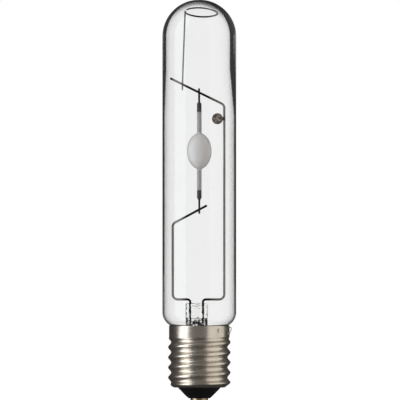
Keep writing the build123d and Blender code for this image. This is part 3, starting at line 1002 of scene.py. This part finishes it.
@dataclass
class Stem:
    """The glass stem: a flare drawn in to a tube, pinched flat round the wires, with its exhaust tube."""

    x: float = -1.7
    radius: float = 6.9
    wall: float = 1.2
    flare_top: float = 36.0
    pinch_foot: float = 46.0
    pinch_top: float = 53.0
    top: float = 62.1
    thickness: float = 5.0
    fullness: float = 2.6
    mark_height: float = 59.4
    mark_depth: float = 0.45
    exhaust_radius: float = 2.2
    exhaust_bore: float = 1.4
    sides: int = 64

    def oval(self, height: float, wide: float, thick: float, square: float, x: float) -> Ring:
        """A ring that goes from round to a flattened oval.

        Args:
            height: The ring's height.
            wide: Half its width.
            thick: Half its thickness.
            square: 2 for an ellipse, and more for fuller corners.
            x: Its centre.

        Returns:
            The ring's point at each turn.
        """

        def at(turn: float) -> Vector:
            """Places one point.

            Args:
                turn: How far round it is, from 0 to 1.

            Returns:
                The point.
            """
            power = 2 / square
            cosine, sine = math.cos(2 * math.pi * turn), math.sin(2 * math.pi * turn)
            u = math.copysign(abs(cosine) ** power, cosine)
            v = math.copysign(abs(sine) ** power, sine)
            return Vector((x + wide * u, thick * v, height))

        return at

    def tube(self, height: float, radius: float, shift: float) -> Ring:
        """A round ring, off the lamp's axis by a share of the stem's own place."""
        return self.oval(height, radius, radius, 2, shift * self.x)

    def press(self, height: float, inset: float, bite: float) -> Ring:
        """A ring of the flat press, drawn in at its sides and bitten in front and behind."""
        return self.oval(height, self.radius - inset, self.thickness / 2 - bite, self.fullness, self.x)

    def pinched(self, share: float) -> tuple[float, float, float]:
        """How the round tube turns into the flat press.

        Args:
            share: How far up the change, from 0 to 1.

        Returns:
            The height, half the thickness, and how far the change has gone.
        """
        ease = share * share * (3 - 2 * share)
        height = self.pinch_foot + (self.pinch_top - self.pinch_foot) * share
        return height, self.radius + (self.thickness / 2 - self.radius) * ease, ease

    def glass(self) -> bpy.types.Object:
        """Makes the flare, tube and press in one piece of glass.

        Returns:
            The stem.
        """
        foot, flare, mark = NECK_FOOT, self.flare_top, self.mark_height
        bore = self.radius - self.wall
        outer = [self.tube(*ring) for ring in (
            (foot - 1.2, NECK_RADIUS, 0.0), (foot, NECK_RADIUS, 0.0), (foot + 0.4, 13.7, 0.0),
            (flare - 2.0, 10.6, 0.1), (flare, 9.2, 0.35), (flare + 2.4, 7.6, 0.8),
            (flare + 4.6, self.radius, 1.0), (self.pinch_foot - 1.0, self.radius, 1.0),
        )]
        for height, thick, ease in (self.pinched(0.1 * band) for band in range(11)):
            outer.append(self.oval(height, self.radius, thick, 2 + (self.fullness - 2) * ease, self.x))
        outer += [self.press(height, 0.2 * bite, bite) for height, bite in (
            (56.5, 0.0), (mark - 1.2, 0.0), (mark - 0.7, self.mark_depth), (mark + 0.7, self.mark_depth),
            (mark + 1.2, 0.0), (61.4, 0.1),
        )]
        outer += [self.press(self.top - 0.2, 0.5, 0.6), self.press(self.top, 1.3, 1.3)]
        inner = [self.tube(*ring) for ring in (
            (foot - 1.2, 13.7, 0.0), (flare - 2.0, 9.0, 0.1), (flare + 2.4, 6.3, 0.8),
            (flare + 4.6, bore, 1.0), (self.pinch_foot - 1.0, bore, 1.0),
        )]
        for share in (0.0, 0.2, 0.35, 0.5, 0.65, 0.8, 0.9):
            height, thick, _ = self.pinched(share)
            inner.append(self.oval(height, bore - 0.6 * share, thick - self.wall, 2, self.x))
        shape = Shape().rings(inner[::-1] + outer, self.sides)
        return shape.piece("stem_glass", Finishes.stem_glass, "clear_glass", ["stem"])

    def exhaust(self) -> bpy.types.Object:
        """Makes the exhaust tube, sealed off at its tip.

        Returns:
            The exhaust tube.
        """
        wide, bore = self.exhaust_radius, self.exhaust_bore
        outline = [(0.0, 24.0), (0.7, 24.15), (1.4, 25.0), (1.9, 26.2), (wide, 27.6), (wide, 50.2)]
        outline += [(1.9, 51.4), (1.2, 51.2), (bore, 50.0), (bore, 27.8)]
        outline += [(1.0, 26.6), (0.4, 25.7), (0.0, 25.6)]
        shape = Shape().spin(outline, 40, Matrix.Translation((self.x, 0.0, 0.0)))
        return shape.piece("exhaust_glass", Finishes.stem_glass, "clear_glass", ["exhaust_tube"])


@dataclass
class WireFrame:
    """The two frame wires, the dome spring and the getter that they carry."""

    wire_radius: float = 0.72
    frame_y: float = -1.34
    press_foot: float = 60.6
    run_height: float = 64.5
    bend: float = 3.2
    press_bend: float = 1.8
    long_x: float = 15.7
    long_bend: float = 187.16
    long_tip_x: float = -18.0
    long_tip: float = 203.67
    short_x: float = -16.7
    short_bend: float = 112.14
    short_tip_x: float = 4.8
    short_tip: float = 123.74
    spring_radius: float = 0.5
    ring_radius: float = 10.2
    ring_x: float = 1.5
    ring_height: float = 244.61
    tilt: float = 17.0
    roll: float = 2.8
    sweep: float = 335.0
    ring_steps: int = 90
    leg_x: float = -10.4
    leg_rise: float = 1.6
    leg_over: float = 3.4
    getter_x: float = 11.4
    getter_height: float = 178.36
    getter_gap: float = 0.25

    def wires(self) -> list[bpy.types.Object]:
        """Makes the long wire, which passes the arc tube, and the short one below it.

        Returns:
            The two wires.
        """
        made = []
        for name, finish, foot_x, side_x, bend_height, tip_x, tip_height in (
            ("long", Finishes.long_wire, LONG_LEAD_X,
             self.long_x, self.long_bend, self.long_tip_x, self.long_tip),
            ("short", Finishes.short_wire, SHORT_LEAD_X,
             self.short_x, self.short_bend, self.short_tip_x, self.short_tip),
        ):
            corners = [
                (foot_x, 0.0, self.press_foot),
                (foot_x, 0.0, self.run_height),
                (side_x, self.frame_y, self.run_height),
                (side_x, self.frame_y, bend_height),
                (tip_x, self.frame_y, tip_height),
            ]
            shape = Shape().wire(bent(corners, [self.press_bend, self.bend, self.bend]), self.wire_radius, 20)
            made.append(shape.piece(f"{name}_wire", finish, "nickel_wire", [f"{name}_frame_wire"]))
        return made

    def spring(self) -> bpy.types.Object:
        """Makes the dome spring: a tilted ring with a leg down to the long wire's arm.

        Returns:
            The spring.
        """
        tilt, roll = math.radians(self.tilt), math.radians(self.roll)
        across = Vector((math.cos(roll), 0, -math.sin(roll)))
        back = Vector((0, math.cos(tilt), math.sin(tilt)))
        back = (back - across * back.dot(across)).normalized()
        middle = Vector((self.ring_x, 0, self.ring_height))
        ring = []
        for i in range(self.ring_steps + 1):
            angle = math.radians(180 + self.sweep * i / self.ring_steps)
            point = middle + self.ring_radius * (across * math.cos(angle) + back * math.sin(angle))
            ring.append((point, back * math.cos(angle) - across * math.sin(angle)))
        start, along = ring[0]
        corner = start - along * self.leg_rise
        slope = (self.long_tip - self.long_bend) / (self.long_tip_x - self.long_x)
        arm_height = self.long_bend + slope * (self.leg_x - self.long_x)
        weld = Vector((self.leg_x, self.frame_y + self.wire_radius + self.spring_radius, arm_height))
        tip = weld + (weld - corner).normalized() * self.leg_over
        leg = bent([tip, corner, start], [1.0])
        shape = Shape().wire(leg[:-1] + ring, self.spring_radius, 16, round_ends=True)
        return shape.piece("spring_wire", Finishes.spring, "nickel_wire", ["dome_spring"])

    def getter(self) -> list[bpy.types.Object]:
        """Makes the getter's cup and pressed powder, facing the front.

        Returns:
            The cup and the powder.
        """
        front = self.frame_y - self.wire_radius - self.getter_gap
        turn = Matrix.Rotation(math.pi / 2, 4, "X")
        place = Matrix.Translation((self.getter_x, front, self.getter_height)) @ turn
        cup = [(0.0, 0.0), (3.1, 0.0), (3.35, 0.1), (3.45, 0.35), (3.45, 1.2), (3.4, 1.3)]
        cup += [(3.25, 1.3), (3.2, 1.2), (3.2, 0.25), (0.0, 0.25)]
        fill = [(0.0, 0.25), (3.17, 0.25), (3.17, 0.4), (2.85, 0.45), (2.7, 0.9), (2.5, 1.0)]
        fill += [(1.6, 0.94), (0.0, 0.9)]
        made = []
        for name, outline, finish, slot, node in (
            ("getter_dish", cup, Finishes.cup, "nickel_wire", "getter_cup"),
            ("getter_powder", fill, Finishes.pellet, "getter_powder", "getter_pellet"),
        ):
            shape = Shape().spin(outline, 64, place)
            made.append(shape.piece(name, finish, slot, [node]))
        return made


@dataclass
class ArcTube:
    """The ceramic arc tube with its legs, seals and leads."""

    centre: float = LIGHT_CENTRE
    radius: float = 7.7
    half_length: float = 11.3
    wall: float = 0.8
    leg_radius: float = 1.45
    flare_radius: float = 2.4
    flare_length: float = 1.0
    leg_bore: float = 0.8
    leg_end: float = 29.6
    seal_start: float = 24.6
    frit_end: float = 30.7
    lead_radius: float = 0.62
    lead_end: float = 39.5
    steps: int = 40

    def oval(self, radius: float, half_length: float, hole: float) -> list:
        """Points along half an ellipse, from its foot to its top.

        Args:
            radius: The ellipse's radius across the lamp.
            half_length: Its radius along the lamp.
            hole: The radius at which both ends stop.

        Returns:
            (radius, height) points.
        """
        end = math.acos(hole / radius)
        angles = [-end + 2 * end * i / self.steps for i in range(self.steps + 1)]
        return [(radius * math.cos(a), self.centre + half_length * math.sin(a)) for a in angles]

    def vessel(self) -> bpy.types.Object:
        """Makes the hollow vessel with its two legs.

        Returns:
            The vessel.
        """
        foot, top = self.centre - self.leg_end, self.centre + self.leg_end
        outer = self.oval(self.radius, self.half_length, self.flare_radius)
        for share, step in ((0.35, 0.35), (0.7, 0.35), (1.0, 0.3)):
            flare = self.flare_radius - (self.flare_radius - self.leg_radius) * (1 - (1 - share) ** 2)
            rise = outer[-1][1] + self.flare_length * step
            outer = [(flare, 2 * self.centre - rise)] + outer + [(flare, rise)]
        inner = self.oval(self.radius - self.wall, self.half_length - self.wall, self.leg_bore)
        outline = [(self.leg_radius, foot)] + outer + [(self.leg_radius, top), (self.leg_bore, top)]
        outline += inner[::-1] + [(self.leg_bore, foot)]
        shape = Shape().spin(outline)
        return shape.piece("arc_tube_vessel", Finishes.alumina, "alumina_ceramic", ["arc_tube"])

    def ends(self) -> list[bpy.types.Object]:
        """Makes the frit seal and the niobium lead of each leg.

        Returns:
            The seals and the leads.
        """
        bore, lead, start, stop = self.leg_bore, self.lead_radius, self.seal_start, self.leg_end
        seal = [(lead, start), (bore, start), (bore, stop), (self.leg_radius, stop)]
        rod = [(0.0, start), (lead, start), (lead, self.lead_end - 0.3), (0.5, self.lead_end - 0.05)]
        rod += [(0.0, self.lead_end)]
        made = []
        for end, side, collar in (
            ("upper", 1, [(1.42, 29.95), (1.25, 30.3)]), ("lower", -1, [(1.2, 29.9), (0.95, 30.3)]),
        ):
            frit = seal + collar + [(0.72, self.frit_end), (lead, self.frit_end)]
            for name, outline, finish, slot, node in (
                (f"{end}_frit", frit, Finishes.frit, "sealing_frit", f"{end}_frit_seal"),
                (f"{end}_lead", rod, Finishes.niobium, "refractory_metal", f"{end}_niobium_lead"),
            ):
                shape = Shape().spin([(radius, self.centre + side * z) for radius, z in outline], 32)
                made.append(shape.piece(name, finish, slot, [node]))
        return made


@dataclass
class Inside:
    """The CAD pieces that stay as they are, with their finishes."""

    finishes: dict[str, Finish] = field(default_factory=lambda: {
        "upper_electrode": Finishes.niobium,
        "lower_electrode": Finishes.niobium,
        "left_seal_wire": Finishes.niobium,
        "right_seal_wire": Finishes.niobium,
        "halide_dose": Finishes.salt,
        "getter_tab": Finishes.cup,
        "centre_lead_wire": Finishes.copper,
        "cap_cement": Finishes.cement,
        "contact_solder": Finishes.solder,
    })

    def dress(self) -> None:
        """Gives each kept node its material."""
        for name, finish in self.finishes.items():
            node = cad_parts[name]
            node.data.materials.clear()
            node.data.materials.append(finish.material())
            log.info("%s: dressed", name)


@dataclass(frozen=True)
class Softbox:
    """A tall area light that faces the lamp.

    Its angle is in degrees round to the right of the camera, its size is its width and height, and
    its power is in watts.
    """

    name: str
    angle: float
    size: Span
    power: float
    distance: float
    tone: Rgb

    def build(self) -> bpy.types.Object:
        """Makes the light, which only surfaces and reflections see.

        Returns:
            The light.
        """
        data = bpy.data.lights.new(self.name, "AREA")
        data.shape = "RECTANGLE"
        data.size, data.size_y = self.size
        data.energy, data.color = self.power, self.tone
        turn = math.radians(self.angle)
        place = Vector((math.sin(turn), -math.cos(turn), 0.0)) * self.distance
        made = bpy.data.objects.new(self.name, data)
        made.location = place
        made.rotation_euler = (-place).to_track_quat("-Z", "Y").to_euler()
        made.visible_camera = made.visible_transmission = False
        bpy.context.collection.objects.link(made)
        return made


@dataclass
class Studio:
    """The floor, the light and the camera.

    The ground behind the lamp, in front of it and above it takes its light over a range of a ray's
    direction, along Y for the first two and along Z for the last.
    """

    frame_width: float = 0.2516
    centre_x: float = 0.00044
    centre_z: float = 0.127
    distance: float = 9.0
    sensor: float = 36.0
    floor_radius: float = 40.0
    floor_gap: float = 0.0002
    floor_glow: float = 0.5
    floor_fade: Span = (0.25, 0.8)
    behind: Span = (0.992, 0.999)
    front: Span = (-0.6, -0.95)
    above: Span = (0.4, 0.8)
    softboxes: tuple[Softbox, ...] = (
        Softbox("left_softbox", -63.0, (1.1, 5.0), 35.5, 1.5, (0.95, 1.0, 1.05)),
        Softbox("right_softbox", 71.0, (2.5, 5.0), 31.0, 1.6, (1.02, 1.0, 0.97)),
    )

    def camera(self) -> None:
        """A long lens level with the lamp's middle, facing +Y."""
        data = bpy.data.cameras.new("camera")
        data.sensor_width = self.sensor
        data.lens = self.sensor * self.distance / self.frame_width
        data.clip_start, data.clip_end = 0.1, 100.0
        made = bpy.data.objects.new("camera", data)
        made.location = (self.centre_x, -self.distance, self.centre_z)
        made.rotation_euler = (math.pi / 2, 0.0, 0.0)
        bpy.context.collection.objects.link(made)
        bpy.context.scene.camera = made

    def world(self) -> None:
        """White to the camera, through glass and straight behind the lamp, in a dim studio."""
        world = bpy.data.worlds.new("studio")
        bpy.context.scene.world = world
        world.use_nodes = True
        recipe = Recipe(world.node_tree)
        direction = recipe.node("ShaderNodeTexCoord", {}, {}, "Generated")
        depth = recipe.node("ShaderNodeSeparateXYZ", {}, {0: direction}, "Y")
        behind = recipe.ramp(depth, *self.behind)
        front = recipe.ramp(depth, *self.front)
        above = recipe.ramp(depth.part("Z"), *self.above)
        dim = 0.04 + 0.96 * behind + 0.12 * front + 0.12 * above
        beside = depth.part("X")
        room = 0.4 + 0.5 * beside * beside
        scattered = recipe.node("ShaderNodeLightPath", {}, {}, "Diffuse Depth") > 0.5
        mirrored, lit, white = (
            recipe.white("ShaderNodeBackground", strength) for strength in (dim, room, 1.0)
        )
        other = recipe.mixed(scattered, mirrored, lit)
        recipe.surface(recipe.mixed(self.seen_plainly(recipe), other, white), "ShaderNodeOutputWorld")

    @staticmethod
    def seen_plainly(recipe: Recipe) -> Tone:
        """Tells which rays see the plain white ground.

        Args:
            recipe: The recipe of the ground or the world.

        Returns:
            1 for a ray from the camera, and for one that glass has only let through.
        """
        path = recipe.node("ShaderNodeLightPath", {}, {}, "Is Camera Ray")
        straight = (path.part("Glossy Depth") + path.part("Diffuse Depth")) < 0.5
        return path.or_higher(path.part("Is Transmission Ray") * straight)

    def ground(self) -> bpy.types.Material:
        """A pale matte that glows a little, goes white far off, and is dull to scattered light.

        Returns:
            The floor's material.
        """
        material = bpy.data.materials.new("pale_floor")
        material.use_nodes = True
        recipe = Recipe(material.node_tree)
        grain = recipe.noise(30.0, Pattern.SOFT)
        tone = recipe.blend(grain, color(0.8, 0.8, 0.8), color(0.83, 0.83, 0.83))
        matte = recipe.tinted("ShaderNodeBsdfDiffuse", tone)
        glow = recipe.white("ShaderNodeEmission", self.floor_glow)
        near = recipe.node("ShaderNodeAddShader", {}, {0: matte, 1: glow})
        white = recipe.white("ShaderNodeEmission", 1.0)
        far = recipe.node("ShaderNodeVectorMath", {"operation": "LENGTH"}, {0: recipe.place()}, "Value")
        lit = recipe.mixed(recipe.ramp(far, *self.floor_fade), near, white)
        dull = recipe.tinted("ShaderNodeBsdfDiffuse", color(0.3, 0.3, 0.3))
        recipe.surface(recipe.mixed(self.seen_plainly(recipe), dull, lit))
        return material

    def floor(self) -> None:
        """A plain pale floor that keeps the lamp's shadow."""
        bm = bmesh.new()
        bmesh.ops.create_circle(bm, cap_ends=True, segments=64, radius=self.floor_radius)
        bmesh.ops.translate(bm, vec=(0, 0, -self.floor_gap), verts=bm.verts)
        mesh = bpy.data.meshes.new("floor")
        bm.to_mesh(mesh)
        bm.free()
        mesh.materials.append(self.ground())
        made = bpy.data.objects.new("floor", mesh)
        made.visible_glossy = made.visible_shadow = False
        bpy.context.collection.objects.link(made)

    def build(self) -> None:
        """Sets the whole studio."""
        self.camera()
        self.world()
        self.floor()
        for softbox in self.softboxes:
            softbox.build()
        bpy.context.scene.view_settings.view_transform = "Standard"


def main() -> None:
    """Builds the lamp's pieces and the studio, in order."""
    logging.basicConfig(level=logging.INFO, format="%(name)s: %(message)s")
    Bulb().build()
    cap = ScrewCap()
    cap.shell()
    cap.insulator()
    cap.contact()
    cap.side_lead()
    cap.weld()
    stem = Stem()
    stem.glass()
    stem.exhaust()
    wires = WireFrame()
    wires.wires()
    wires.spring()
    wires.getter()
    arc_tube = ArcTube()
    arc_tube.vessel()
    arc_tube.ends()
    Inside().dress()
    Studio().build()


if __name__ == "__main__":
    main()
